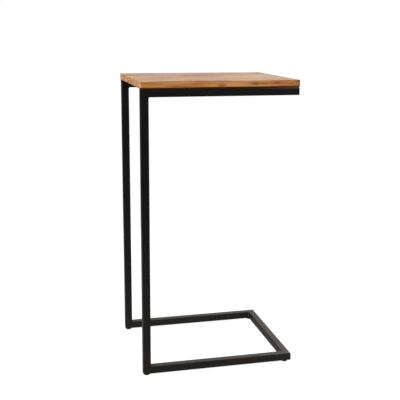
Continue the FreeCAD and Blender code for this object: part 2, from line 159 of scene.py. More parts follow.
def oiled_mango(name, wood, underside, heart, tilt, shade, flares):
    """Mango wood, planed, sanded and oiled: honey brown, with darker growth bands, fibres and open pores.

    The growth bands are shells round the board's heart line, so the same solid pattern gives the streaks
    on the faces and the arcs on the ends. Knots push the bands aside. The oil leaves a satin sheen.
    """
    material, tree = new_material(name)
    place = add_node(tree, "ShaderNodeTexCoord").outputs["Object"]

    # The board's own axes: X along its heart line, which wanders by a few millimetres as a trunk does
    from_heart = add_node(
        tree,
        "ShaderNodeMapping",
        {"Vector": place, "Location": heart, "Rotation": tilt},
        vector_type="TEXTURE",
    )
    slow = add_node(
        tree, "ShaderNodeMapping", {"Vector": from_heart, "Scale": per(260, 60, 60)}, vector_type="POINT"
    )
    wander = add_node(
        tree, "ShaderNodeTexNoise", {"Vector": slow, "Scale": 1, "Detail": 2}
    ).outputs["Color"]
    centred = add_node(tree, "ShaderNodeVectorMath", [wander, (0.5, 0.5, 0.5)], operation="SUBTRACT")
    bent = add_node(
        tree,
        "ShaderNodeVectorMath",
        [centred, (0, 14 * MM, 14 * MM), from_heart],
        operation="MULTIPLY_ADD",
    )
    axes = add_node(tree, "ShaderNodeSeparateXYZ", [bent])
    section = add_node(tree, "ShaderNodeVectorMath", [bent, (0, 1, 1)], operation="MULTIPLY")
    shell = add_node(tree, "ShaderNodeVectorMath", [section], operation="LENGTH").outputs["Value"]

    # Fibres: hair lines along the board, drawn about 1 mm wide, as finer ones would not show
    along_fibre = add_node(
        tree, "ShaderNodeMapping", {"Vector": from_heart, "Scale": per(70, 0.9, 0.9)}, vector_type="POINT"
    )
    fibre = add_node(
        tree, "ShaderNodeTexNoise", {"Vector": along_fibre, "Scale": 1, "Detail": 3, "Roughness": 0.6}
    ).outputs["Fac"]
    rough_fibre = add_node(tree, "ShaderNodeMath", [fibre, 0.5], operation="SUBTRACT")

    # Flares push the bands aside by 0.8 of their height, and the darkest of their stains and painted shade
    # shows
    stains_and_shade = None
    for flare in flares:
        push, stain_and_shade = mango_flare(tree, place, flare, rough_fibre)
        shift = flare[1][2] * 0.8
        shell = add_node(tree, "ShaderNodeMath", [push, shift, shell], operation="MULTIPLY_ADD")
        if stains_and_shade:
            stain_and_shade = add_node(tree, "ShaderNodeMath", [stains_and_shade, stain_and_shade], operation="MAXIMUM")
        stains_and_shade = stain_and_shade

    # Growth bands, which fade in and out along the board, and paler and darker patches some 45 mm wide
    band_place = add_node(tree, "ShaderNodeCombineXYZ", [axes.outputs["X"], shell, 0])
    band_scaled = add_node(
        tree, "ShaderNodeMapping", {"Vector": band_place, "Scale": per(180, wood.band_width / MM, 1)}
    )
    band = add_node(
        tree,
        "ShaderNodeTexNoise",
        {"Vector": band_scaled, "Scale": 1, "Detail": 3, "Roughness": 0.62, "Distortion": 0.3},
        noise_dimensions="2D",
    ).outputs["Fac"]
    patch_place = add_node(
        tree, "ShaderNodeMapping", {"Vector": from_heart, "Scale": per(150, 45, 45)}, vector_type="POINT"
    )
    patch = add_node(
        tree, "ShaderNodeTexNoise", {"Vector": patch_place, "Scale": 1, "Detail": 2}
    ).outputs["Fac"]
    tone = add_node(tree, "ShaderNodeMath", [patch, 0.2, band], operation="MULTIPLY_ADD")
    tone = add_node(tree, "ShaderNodeMath", [rough_fibre, 0.5, tone], operation="MULTIPLY_ADD")
    tone = add_node(tree, "ShaderNodeMath", [tone, shade - 0.1], operation="ADD")
    colour = add_node(
        tree,
        "ShaderNodeValToRGB",
        [tone],
        stops=[
            (0.28, wood.dark_colour),
            (0.7, wood.light_colour),
            (0.42, wood.mid_colour),
            (0.56, wood.honey_colour),
        ],
    )

    # Pores: short dark vessels, 0.5 mm wide and 6 mm long as drawn, that end as dots on the end grain
    pore_place = add_node(
        tree, "ShaderNodeMapping", {"Vector": from_heart, "Scale": per(9, 0.7, 0.7)}, vector_type="POINT"
    )
    cell = add_node(tree, "ShaderNodeTexVoronoi", {"Vector": pore_place, "Scale": 1}).outputs["Distance"]
    pore = add_node(tree, "ShaderNodeMapRange", [cell, 0.1, 0.28, 1, 0], interpolation_type="SMOOTHSTEP")
    pore_shade = add_node(tree, "ShaderNodeMath", [pore, 0.35], operation="MULTIPLY")
    colour = add_node(
        tree,
        "ShaderNodeMix",
        {"Factor": pore_shade, "A": colour, "B": (*wood.dark_colour, 1)},
        data_type="RGBA",
    )
    if stains_and_shade:
        colour = add_node(
            tree,
            "ShaderNodeMix",
            {"Factor": stains_and_shade, "A": colour, "B": (*wood.knot_colour, 1)},
            data_type="RGBA",
        )

    # Painted shade in the crevice: it darkens the lowest 3 mm of the front and back, and 2 mm of the ends,
    # where the board turns under to the frame
    normal = add_node(tree, "ShaderNodeTexCoord").outputs["Normal"]
    facing = add_node(tree, "ShaderNodeSeparateXYZ", [normal])
    on_end = squarely_facing(tree, facing.outputs["X"])
    height = add_node(tree, "ShaderNodeSeparateXYZ", [place]).outputs["Z"]
    height = add_node(tree, "ShaderNodeMath", [on_end, 1 * MM, height], operation="MULTIPLY_ADD")
    edgewise = add_node(tree, "ShaderNodeMapRange", [facing.outputs["Z"], -0.98, -0.85, 0, 0.95])
    low = add_node(
        tree,
        "ShaderNodeMapRange",
        [height, underside + 2 * MM, underside + 4.2 * MM, 1, 0],
        interpolation_type="SMOOTHSTEP",
    )
    painted_crevice_shade = add_node(tree, "ShaderNodeMath", [edgewise, low], operation="MULTIPLY")
    colour = add_node(
        tree,
        "ShaderNodeMix",
        {"Factor": painted_crevice_shade, "A": colour, "B": (*wood.groove_colour, 1)},
        data_type="RGBA",
    )

    # The ends and the broad faces each have a tint of their own, painted light and sheen that pale them as
    # light and a grazing reflection would, and the ends drink the oil and stay dull
    on_face = squarely_facing(tree, facing.outputs["Z"])
    for share, tint in ((on_end, wood.end_tint), (on_face, wood.face_tint)):
        colour = add_node(
            tree,
            "ShaderNodeMix",
            {"Factor": share, "A": colour, "B": (*tint, 1)},
            data_type="RGBA",
            blend_type="MULTIPLY",
        )

    roughness = add_node(
        tree, "ShaderNodeMapRange", [tone, 0.3, 0.7, wood.roughness + 0.06, wood.roughness - 0.04]
    )
    roughness = add_node(tree, "ShaderNodeMath", [on_end, 0.25, roughness], operation="MULTIPLY_ADD")
    relief = add_node(tree, "ShaderNodeMath", [pore, -0.6, fibre], operation="MULTIPLY_ADD")
    bump = add_node(tree, "ShaderNodeBump", {"Strength": 0.35, "Distance": 0.15 * MM, "Height": relief})
    oiled = add_node(
        tree,
        "ShaderNodeBsdfPrincipled",
        {"Base Color": colour, "Roughness": roughness, "IOR": 1.45, "Normal": bump},
    )
    add_node(tree, "ShaderNodeOutputMaterial", [oiled])
    return material


# Coated steel, plated steel and nylon


def powder_coated_steel(steel):
    """Black polyester powder, sprayed and baked on welded tube: near black, satin, with fine orange peel.

    The ground mitre welds show through the coat as faint lines, found from the planes of the mitres. Brown
    dust and painted sheen lie on what faces up; a thin streaky layer on the sides near the floor, most of
    it towards the back right, is dust and a painted reflection of the floor; and a painted highlight lies
    on the rails' upper edge under the wood towards the open end.
    """
    material, tree = new_material("powder_coated_steel")
    place = add_node(tree, "ShaderNodeTexCoord").outputs["Object"]
    peel, grit, cloud = (
        add_node(
            tree, "ShaderNodeTexNoise", {"Vector": place, "Scale": per(size), "Detail": detail}
        ).outputs["Fac"]
        for size, detail in ((1.6, 2), (0.7, 1), (60, 3))
    )
    streaks = add_node(
        tree, "ShaderNodeMapping", {"Vector": place, "Scale": per(70, 70, 9)}, vector_type="POINT"
    )
    mottle = add_node(
        tree, "ShaderNodeTexNoise", {"Vector": streaks, "Scale": 1, "Detail": 4, "Roughness": 0.65}
    ).outputs["Fac"]
    mottle = add_node(tree, "ShaderNodeMapRange", [mottle, 0.32, 0.68, 0.2, 0.8])

    # Faint lines where the mitres meet: between legs and rails, and at the open end
    x, y, z = add_node(tree, "ShaderNodeSeparateXYZ", [place]).outputs
    leg_low, leg_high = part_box("front_leg")
    rail_low, rail_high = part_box("front_top_rail")
    depth = add_node(tree, "ShaderNodeMath", [y], operation="ABSOLUTE")
    seams = []
    for first, second, operation, level in (
        (x, z, "ADD", leg_low.x + leg_high.z),
        (z, x, "SUBTRACT", leg_low.z - leg_low.x),
        (x, depth, "SUBTRACT", rail_high.x + rail_low.y),
    ):
        plane = add_node(tree, "ShaderNodeMath", [first, second], operation=operation)
        off_plane = add_node(tree, "ShaderNodeMath", [plane, level], operation="SUBTRACT")
        seams.append(add_node(tree, "ShaderNodeMath", [off_plane], operation="ABSOLUTE"))
    nearest = add_node(tree, "ShaderNodeMath", seams[:2], operation="MINIMUM")
    nearest = add_node(tree, "ShaderNodeMath", [nearest, seams[2]], operation="MINIMUM")
    seam = add_node(
        tree, "ShaderNodeMapRange", [nearest, 0.4 * MM, 1.4 * MM, 1, 0], interpolation_type="SMOOTHSTEP"
    )

    shade = add_node(tree, "ShaderNodeMapRange", [cloud, 0.3, 0.7, 0, 1])
    colour = add_node(
        tree,
        "ShaderNodeMix",
        {"Factor": shade, "A": (*steel.coat_colour, 1), "B": (*steel.cloud_colour, 1)},
        data_type="RGBA",
    )

    # Dust and painted sheen: how much lies on each place, broken up by the streaks, with a painted
    # reflection of the floor low on the sides and a painted highlight on the rails' upper edge under the
    # wood
    normal = add_node(tree, "ShaderNodeTexCoord").outputs["Normal"]
    facing = add_node(tree, "ShaderNodeSeparateXYZ", [normal])
    # Brown dust and painted sheen on what faces up, and dust with a painted reflection of the floor on the
    # sides near it, more towards the back right
    upwards = add_node(tree, "ShaderNodeMapRange", [facing.outputs["Z"], 0.2, 1, 0, 0.55])
    towards_back_right = add_node(tree, "ShaderNodeMath", [x, y], operation="ADD")
    film = add_node(tree, "ShaderNodeMapRange", [towards_back_right, -250 * MM, 50 * MM, steel.film, 2 * steel.film])
    near_floor = add_node(tree, "ShaderNodeMapRange", [z, 0, 240 * MM, film, 0])
    upwards = add_node(tree, "ShaderNodeMath", [upwards, near_floor], operation="MAXIMUM")
    dust_and_sheen = add_node(tree, "ShaderNodeMath", [upwards, mottle], operation="MULTIPLY")
    # A painted highlight on the rails' upper edge under the wood, towards the open end
    below_wood = add_node(
        tree, "ShaderNodeMapRange", [z, rail_high.z - 5.5 * MM, rail_high.z - 0.3 * MM, 0, 1]
    )
    open_end = add_node(
        tree, "ShaderNodeMapRange", [x, rail_high.x - 120 * MM, rail_high.x - 10 * MM, 0, 0.9]
    )
    rail_edge_highlight = add_node(tree, "ShaderNodeMath", [below_wood, open_end], operation="MULTIPLY")
    dust_and_sheen = add_node(tree, "ShaderNodeMath", [dust_and_sheen, rail_edge_highlight], operation="MAXIMUM")
    colour = add_node(
        tree,
        "ShaderNodeMix",
        {"Factor": dust_and_sheen, "A": colour, "B": (*steel.dust_colour, 1)},
        data_type="RGBA",
    )
    roughness = add_node(
        tree, "ShaderNodeMapRange", [grit, 0.3, 0.7, steel.roughness - 0.06, steel.roughness + 0.08]
    )
    relief = add_node(tree, "ShaderNodeMath", [seam, -0.8, peel], operation="MULTIPLY_ADD")
    bump = add_node(tree, "ShaderNodeBump", {"Strength": 0.5, "Distance": 0.12 * MM, "Height": relief})
    coated = add_node(
        tree,
        "ShaderNodeBsdfPrincipled",
        {
            "Base Color": colour,
            "Roughness": roughness,
            "IOR": 1.5,
            "Specular IOR Level": steel.specular,
            "Normal": bump,
        },
    )
    add_node(tree, "ShaderNodeOutputMaterial", [coated])
    return material


def zinc_plated_steel():
    """Bright zinc plate over steel: a cool pale metal with slight clouds from the passivation bath."""
    material, tree = new_material("zinc_plated_steel")
    place = add_node(tree, "ShaderNodeTexCoord").outputs["Object"]
    cloud, grain = (
        add_node(
            tree, "ShaderNodeTexNoise", {"Vector": place, "Scale": per(size), "Detail": detail}
        ).outputs["Fac"]
        for size, detail in ((3, 3), (0.3, 2))
    )
    colour = add_node(
        tree,
        "ShaderNodeValToRGB",
        [cloud],
        stops=[(0.35, linear("A9ABA6")), (0.65, linear("C9CCCB"))],
    )
    roughness = add_node(tree, "ShaderNodeMapRange", [cloud, 0.3, 0.7, 0.28, 0.4])
    bump = add_node(tree, "ShaderNodeBump", {"Strength": 0.3, "Distance": 0.02 * MM, "Height": grain})
    plated = add_node(
        tree,
        "ShaderNodeBsdfPrincipled",
        {"Base Color": colour, "Metallic": 1, "Roughness": roughness, "Normal": bump},
    )
    add_node(tree, "ShaderNodeOutputMaterial", [plated])
    return material


def moulded_nylon():
    """Black nylon, injection moulded with a spark eroded grain: matt, with a slight waxy sheen."""
    material, tree = new_material("moulded_nylon")
    place = add_node(tree, "ShaderNodeTexCoord").outputs["Object"]
    grain = add_node(
        tree, "ShaderNodeTexNoise", {"Vector": place, "Scale": per(0.4), "Detail": 2}
    ).outputs["Fac"]
    colour = add_node(
        tree,
        "ShaderNodeValToRGB",
        [grain],
        stops=[(0.3, linear("131313")), (0.7, linear("1D1D1C"))],
    )
    roughness = add_node(tree, "ShaderNodeMapRange", [grain, 0.3, 0.7, 0.5, 0.62])
    bump = add_node(tree, "ShaderNodeBump", {"Strength": 0.4, "Distance": 0.05 * MM, "Height": grain})
    moulded = add_node(
        tree,
        "ShaderNodeBsdfPrincipled",
        {"Base Color": colour, "Roughness": roughness, "IOR": 1.53, "Normal": bump},
    )
    add_node(tree, "ShaderNodeOutputMaterial", [moulded])
    return material


# Surroundings


def white_studio(ambient):
    """A world that is white to the camera, lights the table softly, and shows a room to its gloss.

    The gloss mirrors a pale wall behind the table that darkens to the left, and a window at the front
    right.
    """
    world = bpy.data.worlds.new("white_studio")
    world.use_nodes = True
    tree = world.node_tree
    tree.nodes.clear()
    rays = add_node(tree, "ShaderNodeLightPath").outputs
    x, y, z = add_node(tree, "ShaderNodeSeparateXYZ", [add_node(tree, "ShaderNodeTexCoord")]).outputs
    sky = add_node(tree, "ShaderNodeMapRange", [z, -0.3, 0.7, ambient * 0.15, ambient])
    light = add_node(tree, "ShaderNodeBackground", {"Color": (1, 1, 1, 1), "Strength": sky})

    behind = add_node(tree, "ShaderNodeMapRange", [y, -0.3, 0.5, 0, 0.75])
    beside = add_node(tree, "ShaderNodeMapRange", [x, 0, 0.15, 0.1, 1])
    wall = add_node(tree, "ShaderNodeMath", [behind, beside], operation="MULTIPLY")
    before = add_node(tree, "ShaderNodeMapRange", [y, -0.6, 0, 1, 0])
    rightwards = add_node(tree, "ShaderNodeMapRange", [x, 0.2, 0.4, 0.01, 0.7])
    level = add_node(tree, "ShaderNodeMapRange", [z, -0.2, -0.05, 0, 1])
    before = add_node(tree, "ShaderNodeMath", [before, level], operation="MULTIPLY")
    room = add_node(tree, "ShaderNodeMath", [before, rightwards, wall], operation="MULTIPLY_ADD")
    room = add_node(tree, "ShaderNodeMath", [room, rays["Is Camera Ray"]], operation="MAXIMUM")
    white = add_node(tree, "ShaderNodeBackground", {"Color": (1, 1, 1, 1), "Strength": room})

    seen = rays["Is Camera Ray"]
    for ray in ("Is Glossy Ray", "Is Transmission Ray"):
        seen = add_node(tree, "ShaderNodeMath", [seen, rays[ray]], operation="MAXIMUM")
    mixed = add_node(tree, "ShaderNodeMixShader", [seen, light, white])
    add_node(tree, "ShaderNodeOutputWorld", [mixed])
    return world


def pale_floor(colour):
    """A painted floor that takes the table's shadow, is white to the camera, and is clear from below."""
    half, glow, mirrored = 1.3, 0.9, 0.14
    mesh = bpy.data.meshes.new("floor")
    mesh.from_pydata(
        [(-half, -half, 0), (half, -half, 0), (half, half, 0), (-half, half, 0)], [], [(0, 1, 2, 3)]
    )
    floor = bpy.data.objects.new("floor", mesh)
    bpy.context.scene.collection.objects.link(floor)
    material, tree = new_material("pale_floor")
    rays = add_node(tree, "ShaderNodeLightPath").outputs
    seen = add_node(
        tree,
        "ShaderNodeMath",
        [rays["Is Glossy Ray"], mirrored, rays["Is Camera Ray"]],
        operation="MULTIPLY_ADD",
    )
    seen = add_node(tree, "ShaderNodeMath", [seen, rays["Is Transmission Ray"]], operation="MAXIMUM")
    strength = add_node(tree, "ShaderNodeMath", [seen, glow], operation="MULTIPLY")
    shine = add_node(tree, "ShaderNodeEmission", {"Color": (1, 1, 1, 1), "Strength": strength})
    coat = add_node(tree, "ShaderNodeBsdfDiffuse", {"Color": (*colour, 1)})
    lit = add_node(tree, "ShaderNodeAddShader", [coat, shine])
    clear = add_node(tree, "ShaderNodeBsdfTransparent")
    below = add_node(tree, "ShaderNodeNewGeometry").outputs["Backfacing"]
    shader = add_node(tree, "ShaderNodeMixShader", [below, lit, clear])
    add_node(tree, "ShaderNodeOutputMaterial", [shader])
    mesh.materials.append(material)
    return floor


# Shapes


def skin(name, patches, material, body, loop=False, crease=50):
    """A piece whose surface joins rings of points, each patch an array of rings x points x 3, in metres.

    Quads join each ring to the next, all round. With loop the last ring joins the first, and otherwise a
    fan closes each end ring to its middle. An edge is sharp where it turns by more than crease degrees.
    """
    points, faces, used = [], [], 0
    for rings in patches:
        count, around = rings.shape[:2]
        start = np.arange(count if loop else count - 1)[:, None]
        here, beside = np.arange(around), np.roll(np.arange(around), -1)
        low, high = start * around, (start + 1) % count * around
        quads = np.stack([low + here, low + beside, high + beside, high + here], axis=-1)
        faces += (used + quads.reshape(-1, 4)).tolist()
        points.append(rings.reshape(-1, 3))
        used += count * around
        if not loop:
            points.append(np.stack([rings[0].mean(axis=0), rings[-1].mean(axis=0)]))
            first = used - count * around
            last = used - around
            faces += np.stack([np.full(around, used), first + beside, first + here], axis=-1).tolist()
            faces += np.stack([np.full(around, used + 1), last + here, last + beside], axis=-1).tolist()
            used += 2
    mesh = bpy.data.meshes.new(name)
    mesh.from_pydata(np.concatenate(points).tolist(), [], faces)
    mesh.shade_smooth()
    mesh.set_sharp_from_angle(angle=math.radians(crease))
    mesh.materials.append(material)
    piece = bpy.data.objects.new(name, mesh)
    bpy.context.scene.collection.objects.link(piece)
    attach(piece, body)
    return piece


def angles_round(count):
    """That many angles, evenly round a full turn."""
    return np.arange(count) * TURN / count


def turned(radii, heights, place):
    """Rings round an upright axis through a place: x = r cos a, y = r sin a, z = h, in millimetres.

    The radii are rings x angles and the heights are above the place. Going out along the bottom, up the
    outside and in along the top keeps the faces outwards.
    """
    radii, heights = np.broadcast_arrays(radii, heights)
    angles = angles_round(radii.shape[1])
    rings = np.stack([radii * np.cos(angles), radii * np.sin(angles), heights], axis=-1)
    return rings * MM + np.array(place)


def path_rows(corners, rounding=(), steps=5):
    """Radii and heights of a profile through corners, as two columns, with some of its corners rounded.

    rounding gives the radius at a corner's index. There the corner is replaced by points of the curve
    (1-t)^2 A + 2t(1-t) B + t^2 C, which leaves and joins the straight sides that far from the corner B.
    """
    corners = np.array(corners, float)
    rows = []
    for index, corner in enumerate(corners):
        if index not in rounding:
            rows.append(corner[None])
            continue
        before, after = corners[index - 1] - corner, corners[index + 1] - corner
        start = corner + before / np.linalg.norm(before) * rounding[index]
        end = corner + after / np.linalg.norm(after) * rounding[index]
        t = np.linspace(0, 1, steps)[:, None]
        rows.append((1 - t) ** 2 * start + 2 * t * (1 - t) * corner + t**2 * end)
    rows = np.concatenate(rows)
    return rows[:, :1], rows[:, 1:]


def thread_cut(heights, angles, pitch):
    """How deep a right-hand thread is cut at a height and an angle, from 0 at the crest to 1 at the root.

    It is half of 1 - cos(b), where b is a full turn for each pitch of the height, less the angle.
    """
    return 0.5 - 0.5 * np.cos(TURN * heights / pitch - angles)


def weld_bead(corner, first, second, length, weld):
    """A bead in the corner between two faces that leave it along two unit directions.

    For s from -1 to 1 along the bead and an angle a from 0 to a quarter turn across it, a point is the
    corner plus s times half the length along it, plus leg (first cos(a)^1.5 + second sin(a)^1.5). The leg
    narrows as the square root of 1 - s^6 and carries ripples that lag in the middle, as the melt does. The
    bead's root lies inside the metal.
    """
    swell, lag, root_depth, rings_a_ripple = 0.07, 2.2, 0.4, 6
    first, second = np.array(first, float), np.array(second, float)
    along = np.cross(first, second)
    half = length / 2
    count = max(9, round(length / weld.ripple_pitch * rings_a_ripple * MM))
    s = np.linspace(-1, 1, count)[:, None]
    a = np.linspace(0, math.pi / 2, 9)[None]
    ripple = 1 + swell * np.cos(TURN * s * half * MM / weld.ripple_pitch - lag * np.sin(2 * a))
    leg = weld.leg / MM * np.sqrt(1 - np.minimum(abs(s), 0.999) ** 6) * ripple
    face = leg[..., None] * (
        (np.cos(a) ** 1.5)[..., None] * first + (np.sin(a) ** 1.5)[..., None] * second
    )
    root = np.broadcast_to(-root_depth * (first + second), (len(s), 1, 3))
    rings = np.concatenate([face, root], axis=1) + s[..., None] * half * along
    return rings * MM + np.array(corner)


# Settings


class WoodSettings(bpy.types.PropertyGroup):
    """Colours and finish of the oiled boards"""

    light_colour: FloatVectorProperty(
        name="Light wood",
        description="Colour of the palest growth bands",
        subtype="COLOR",
        default=linear("DDA066"),
    )
    honey_colour: FloatVectorProperty(
        name="Honey wood",
        description="Colour between pale and mid bands",
        subtype="COLOR",
        default=linear("CE8A4B"),
    )
    mid_colour: FloatVectorProperty(
        name="Mid wood",
        description="Colour of the middle growth bands",
        subtype="COLOR",
        default=linear("B8713A"),
    )
    dark_colour: FloatVectorProperty(
        name="Dark wood",
        description="Colour of the dark streaks and pores",
        subtype="COLOR",
        default=linear("874A20"),
    )
    knot_colour: FloatVectorProperty(
        name="Knot", description="Colour of a flare's middle", subtype="COLOR", default=linear("76360C")
    )
    # Painted shade: the colour of the crevice where the lower edges meet the frame
    groove_colour: FloatVectorProperty(
        name="Groove",
        description="Colour of the oil and dust caught where the lower edges meet the frame",
        subtype="COLOR",
        default=linear("2E1606"),
    )
    # Painted light and sheen: pales the end grain as more light and a grazing reflection would
    end_tint: FloatVectorProperty(
        name="End grain tint",
        description="What the paler, fuzzier end grain multiplies its colour by",
        subtype="COLOR",
        default=(1.08, 1.42, 2.4),
        max=3,
    )
    # Painted sheen: pales the broad faces as a grazing reflection of the white surroundings would
    face_tint: FloatVectorProperty(
        name="Face tint",
        description="What the broad faces, which fade in the light, multiply their colour by",
        subtype="COLOR",
        default=(0.96, 1.13, 1.22),
        max=2,
    )
    band_width: FloatProperty(
        name="Band width",
        description="Width of a growth band",
        unit="LENGTH",
        default=7 * MM,
        precision=4,
    )
    roughness: FloatProperty(
        name="Roughness",
        description="Roughness of the oiled faces",
        subtype="FACTOR",
        default=0.34,
        min=0,
        max=1,
    )


class SteelSettings(bpy.types.PropertyGroup):
    """Colours and finish of the powder coated frame"""

    coat_colour: FloatVectorProperty(
        name="Powder coat",
        description="Colour of the powder coat",
        subtype="COLOR",
        default=linear("070706"),
    )
    cloud_colour: FloatVectorProperty(
        name="Coat cloud",
        description="Colour of its faint lighter clouds",
        subtype="COLOR",
        default=linear("0F0D0B"),
    )
    # Dust and painted sheen: lightens what faces up, the sides near the floor and the rails' upper edge
    dust_colour: FloatVectorProperty(
        name="Dust",
        description="Colour of the fine dust that settles on it",
        subtype="COLOR",
        default=linear("584838"),
    )
    roughness: FloatProperty(
        name="Roughness",
        description="Roughness of the powder coat",
        subtype="FACTOR",
        default=0.38,
        min=0,
        max=1,
    )
    # Dust and a painted reflection of the floor on the sides near it
    film: FloatProperty(
        name="Film",
        description="Share of dust on the sides at the floor",
        subtype="FACTOR",
        default=0.12,
        min=0,
        max=1,
    )
    specular: FloatProperty(
        name="Specular",
        description="Strength of the coat's reflection",
        subtype="FACTOR",
        default=0.35,
        min=0,
        max=1,
    )


class WeldSettings(bpy.types.PropertyGroup):
    """Sizes of the weld beads"""

    leg: FloatProperty(
        name="Leg",
        description="Width of a bead on each face",
        unit="LENGTH",
        default=2.4 * MM,
        precision=4,
    )
    ripple_pitch: FloatProperty(
        name="Ripples",
        description="Distance between ripples",
        unit="LENGTH",
        default=1.2 * MM,
        precision=4,
    )


class FittingSettings(bpy.types.PropertyGroup):
    """Sizes of the screws, rivet nuts and glides"""

    stud_diameter: FloatProperty(
        name="Stud",
        description="Outer diameter of the glides' thread",
        unit="LENGTH",
        default=6 * MM,
        precision=4,
    )
    stud_pitch: FloatProperty(
        name="Stud pitch",
        description="Pitch of the glides' thread",
        unit="LENGTH",
        default=1 * MM,
        precision=4,
    )
    screw_diameter: FloatProperty(
        name="Screw",
        description="Outer diameter of the wood screws",
        unit="LENGTH",
        default=4 * MM,
        precision=4,
    )
    screw_pitch: FloatProperty(
        name="Screw pitch",
        description="Pitch of the wood screws",
        unit="LENGTH",
        default=1.8 * MM,
        precision=4,
    )
    flute_count: IntProperty(name="Flutes", description="Flutes round a glide pad", default=24, min=3)
    knurl_count: IntProperty(name="Knurls", description="Knurls round a rivet nut", default=24, min=3)


class StageSettings(bpy.types.PropertyGroup):
    """Camera, lamps and floor"""

    camera_place: FloatVectorProperty(
        name="Camera",
        description="Where the camera stands",
        subtype="TRANSLATION",
        unit="LENGTH",
        default=(-0.5021, -1.9988, 0.8879),
    )
    camera_heading: FloatProperty(
        name="Heading",
        description="How far the camera turns from the table's depth towards its open end",
        subtype="ANGLE",
        default=math.radians(13.764),
    )
    camera_dip: FloatProperty(
        name="Dip",
        description="How far the camera looks down",
        subtype="ANGLE",
        default=math.radians(12.711),
    )
    camera_roll: FloatProperty(
        name="Roll",
        description="How far the camera leans over",
        subtype="ANGLE",
        default=math.radians(0.338),
    )
    lens: FloatProperty(name="Lens", description="Focal length of the lens", unit="CAMERA", default=69)
    ambient: FloatProperty(
        name="Ambient light", description="Strength of the light from all round", default=0.5, min=0
    )
    key_power: FloatProperty(
        name="Key light", description="Power of the large soft lamp", unit="POWER", default=472, min=0
    )
    floor_colour: FloatVectorProperty(
        name="Floor", description="Colour of the floor", subtype="COLOR", default=linear("8A8A8A")
    )


# Operators


def paint(node_names, material):
    """Gives CAD nodes a material through their own material slots."""
    for name in node_names:
        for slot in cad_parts[name].material_slots:
            slot.material = material


# For each board, from front to back: where its heart line passes, the line's tilt in degrees, how much
# lighter the board is, and its flares as (centre, radii, how dark they are). Places are in millimetres, Y
# from the board's middle and Z from its underside.
BOARD_GROWTH = [
    {
        "heart": (150, -22, -48),
        "tilt": (0.4, 0.5),
        "shade": 0.02,
        "flares": [
            # Dark streaks along the front edge
            ((-165, -42, 15), (42, 16, 2.6), 0.35),
            ((-50, -40, 18.4), (65, 11, 1.2), 1.0),
            ((110, -40, 18.4), (80, 9, 1.2), 0.55),
            # Knots on the front edge
            ((0, -42, 6), (12, 16, 3.4), 0.8),
            ((87, -42, 10.5), (15, 14, 3.8), 0.9),
            ((106, -42, 9.5), (16, 14, 2), 0.8),
            ((141, -42, 12), (12, 14, 2.6), 0.6),
            # A knot at the left end, and painted shade on the right front corner, which turns away from
            # the light
            ((-202, 8, 6), (12, 5, 7), 0.7),
            ((203, -42, 16.5), (14, 14, 3.6), 0.75),
            ((203, -42, 5), (8, 14, 3.4), 0.85),
            ((204, -43, 9), (6, 12, 16), 0.6),
        ],
    },
    {
        "heart": (0, 12, 62),
        "tilt": (0.9, -0.6),
        "shade": 0.03,
        "flares": [((-150, 6, 14), (16, 6, 9), 0.8), ((-202, 20, 5), (10, 6, 6), 0.5)],
    },
    {
        "heart": (260, -30, -70),
        "tilt": (-0.7, 0.4),
        "shade": -0.01,
        "flares": [],
    },
    {
        "heart": (0, 8, -36),
        "tilt": (1.1, 0.7),
        "shade": 0.01,
        "flares": [((96, -12, 12), (20, 8, 12), 0.85)],
    },
]


class SIDETABLE_OT_wood_top(bpy.types.Operator):
    """Oils the boards of the top, each with grain of its own"""

    bl_idname = "side_table.wood_top"
    bl_label = "Wood Top"

    def execute(self, context):
        wood = context.scene.side_table_wood
        for name, growth in zip(BOARDS, BOARD_GROWTH):
            low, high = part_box(name)
            middle = Vector((0, (low.y + high.y) / 2, low.z))
            heart = middle + Vector(growth["heart"]) * MM
            pitch, yaw = growth["tilt"]
            flares = [
                (tuple(middle + Vector(centre) * MM), tuple(Vector(radii) * MM), strength)
                for centre, radii, strength in growth["flares"]
            ]
            tilt = (0, math.radians(pitch), math.radians(yaw))
            material = oiled_mango(
                f"oiled_mango_{name[-1]}", wood, low.z, tuple(heart), tilt, growth["shade"], flares
            )
            paint([name], material)
        return {"FINISHED"}


class SIDETABLE_OT_coated_frame(bpy.types.Operator):
    """Powder coats the tubes and tabs of the frame"""

    bl_idname = "side_table.coated_frame"
    bl_label = "Coated Frame"

    def execute(self, context):
        coat = finish(powder_coated_steel, context.scene.side_table_steel)
        paint([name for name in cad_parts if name.endswith(("leg", "rail", "tab"))], coat)
        return {"FINISHED"}


class SIDETABLE_OT_weld_beads(bpy.types.Operator):
    """Lays the weld beads in the frame's inner corners and along the tabs"""

    bl_idname = "side_table.weld_beads"
    bl_label = "Weld Beads"

    def execute(self, context):
        weld = context.scene.side_table_weld
        coat = finish(powder_coated_steel, context.scene.side_table_steel)
        tube_rounding, tab_bead = 2, 22
        joints = []
        for depth, inward in (("front", 1), ("back", -1)):
            leg_low, leg_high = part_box(f"{depth}_leg")
            middle = (leg_low.y + leg_high.y) / 2
            flat = (leg_high.y - leg_low.y) / MM - 2 * tube_rounding
            for level, edge, away in (("top", 0, -1), ("base", 1, 1)):
                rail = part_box(f"{depth}_{level}_rail")
                end_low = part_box(f"end_{level}_rail")[0]
                joints.append(((leg_high.x, middle, rail[edge].z), (1, 0, 0), (0, 0, away), flat))
                inner = rail[1].y if inward > 0 else rail[0].y
                height = (rail[0].z + rail[1].z) / 2
                joints.append(((end_low.x, inner, height), (-1, 0, 0), (0, inward, 0), flat))
            for side in ("left", "right"):
                tab_low, tab_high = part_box(f"{depth}_{side}_tab")
                root = tab_low.y if inward > 0 else tab_high.y
                centre = (tab_low.x + tab_high.x) / 2
                joints.append(((centre, root, tab_low.z), (0, inward, 0), (0, 0, -1), tab_bead))
        beads = [weld_bead(*joint, weld) for joint in joints]
        skin("weld_beads", beads, coat, TABLE)
        return {"FINISHED"}


